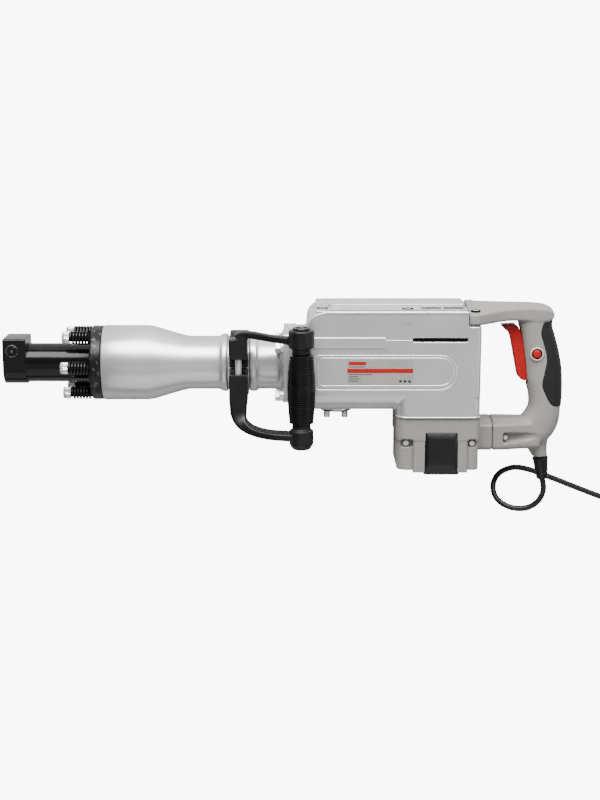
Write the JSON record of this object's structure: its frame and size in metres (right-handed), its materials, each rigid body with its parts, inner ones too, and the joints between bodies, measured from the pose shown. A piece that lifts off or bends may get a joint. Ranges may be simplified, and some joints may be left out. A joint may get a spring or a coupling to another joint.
{
  "type": "electric demolition hammer",
  "caption": "Heavy electric demolition hammer lying on its side, with sprung hexagon tool holder, clamped side handle, D-shaped rear handle, red trigger and black supply cord.",
  "frame": {"origin": "bottom centre of the tool's bounding box without its free cord, on the floor it lies on", "axes": "+X from the tool holder to the rear grip, +Y towards the top cover, +Z from the tool's right side, which rests on the floor, to its left side"},
  "size_m": [0.8995, 0.2985, 0.1564],
  "materials": {
    "silver_paint": "satin silver enamel on cast aluminium",
    "black_paint": "black enamel on steel, worn at the edges",
    "bright_steel": "plated steel",
    "gear_steel": "hardened and ground steel",
    "spring_steel": "blackened spring wire",
    "grey_plastic": "fine-grained glass-filled nylon",
    "black_plastic": "satin black nylon",
    "rubber": "matt soft grip rubber",
    "red_plastic": "glossy red",
    "pale_plastic": "pale grey",
    "copper": "varnished copper winding",
    "carbon": "carbon",
    "cord_rubber": "black cord sheath"
  },
  "bodies": {
    "housing": {"barrel": "silver_paint", "barrel_bolt_1": "bright_steel", "barrel_bolt_2": "bright_steel", "barrel_bolt_3": "bright_steel", "barrel_bolt_4": "bright_steel", "nose_bolt_1": "bright_steel", "nose_bolt_2": "bright_steel", "nose_bolt_3": "bright_steel", "nose_bolt_4": "bright_steel", "nose_bolt_5": "bright_steel", "nose_bolt_6": "bright_steel", "nose_spring_1": "spring_steel", "nose_spring_2": "spring_steel", "nose_spring_3": "spring_steel", "nose_spring_4": "spring_steel", "nose_spring_5": "spring_steel", "nose_spring_6": "spring_steel", "cylinder_liner": "gear_steel", "crankcase": "silver_paint", "top_cover": "silver_paint", "grease_cover": "silver_paint", "bearing_plate": "gear_steel", "crank_bearing": "bright_steel", "armature_bearing": "bright_steel", "stator": "gear_steel", "carbon_brush_left": "carbon", "carbon_brush_right": "carbon", "motor_housing": "grey_plastic", "brush_cover_left": "black_plastic", "brush_cover_right": "black_plastic", "handle_left": "grey_plastic", "handle_right": "grey_plastic", "grip_pad": "rubber", "button_bezel": "pale_plastic", "switch_body": "black_plastic", "cord_guard": "black_plastic", "cord_lead": "cord_rubber", "cord_coil": "cord_rubber", "plug": "black_plastic"},
    "nose": {"front_cover": "black_paint"},
    "pin": {"retaining_pin": "bright_steel"},
    "anvil": {"impact_bolt": "gear_steel"},
    "ram": {"striker": "gear_steel"},
    "drive_piston": {"piston": "gear_steel"},
    "rotor": {"armature": "copper", "fan": "black_plastic"},
    "idler": {"idler_shaft": "gear_steel", "idler_gear": "gear_steel"},
    "crank": {"crankshaft": "gear_steel", "crank_gear": "gear_steel"},
    "rod": {"connecting_rod": "gear_steel", "piston_pin": "bright_steel"},
    "switch_trigger": {"trigger": "red_plastic"},
    "switch_lock": {"lock_button": "red_plastic"},
    "side_handle": {"clamp_upper": "black_paint", "clamp_lower": "black_paint", "clamp_rod": "bright_steel", "side_grip": "rubber", "grip_bolt": "black_paint"}
  },
  "joints": [
    {"name": "nose_travel", "type": "slide", "parent": "housing", "child": "nose", "axis": [-1, 0, 0], "range_m": [0, 0.004], "stiffness_N_per_m": 20000, "deforming": ["nose_spring_1", "nose_spring_2", "nose_spring_3", "nose_spring_4", "nose_spring_5", "nose_spring_6"]},
    {"name": "pin_turn", "type": "hinge", "parent": "nose", "child": "pin", "pos_m": [-0.3388, 0.05594, 0.057], "axis": [0, 0, 1], "range_deg": [0, 180]},
    {"name": "anvil_slide", "type": "slide", "parent": "housing", "child": "anvil", "axis": [1, 0, 0], "range_m": [-0.006, 0.008]},
    {"name": "ram_slide", "type": "slide", "parent": "housing", "child": "ram", "axis": [1, 0, 0], "range_m": [-0.024, 0.034]},
    {"name": "piston_slide", "type": "slide", "parent": "housing", "child": "drive_piston", "axis": [1, 0, 0], "range_m": [0, 0.024]},
    {"name": "motor_spin", "type": "hinge", "parent": "housing", "child": "rotor", "pos_m": [0.19225, -0.02736, 0.057], "axis": [0, 1, 0], "continuous": true},
    {"name": "idler_spin", "type": "hinge", "parent": "housing", "child": "idler", "pos_m": [0.161, 0.07, 0.057], "axis": [0, 1, 0], "continuous": true},
    {"name": "crank_spin", "type": "hinge", "parent": "housing", "child": "crank", "pos_m": [0.112, 0.07, 0.057], "axis": [0, 1, 0], "continuous": true},
    {"name": "rod_swing", "type": "hinge", "parent": "crank", "child": "rod", "pos_m": [0.1, 0.03764, 0.057], "axis": [0, 1, 0], "continuous": true},
    {"name": "trigger_squeeze", "type": "hinge", "parent": "housing", "child": "switch_trigger", "pos_m": [0.304, 0.01814, 0.057], "axis": [0, 0, -1], "range_deg": [0, 6], "stiffness_Nm_per_rad": 2, "springref_deg": -5.73},
    {"name": "lock_press", "type": "slide", "parent": "housing", "child": "switch_lock", "axis": [0, 0, -1], "range_m": [0, 0.0025], "stiffness_N_per_m": 300, "springref_m": -0.001},
    {"name": "side_handle_turn", "type": "hinge", "parent": "housing", "child": "side_handle", "pos_m": [-0.056, 0.03764, 0.057], "axis": [1, 0, 0], "range_deg": [-6, 8]}
  ],
  "couplings": [
    {"joint": "idler_spin", "follows": "motor_spin", "ratio": -0.25},
    {"joint": "crank_spin", "follows": "motor_spin", "ratio": 0.068182},
    {"joint": "rod_swing", "follows": "motor_spin", "ratio": -0.068182}
  ]
}
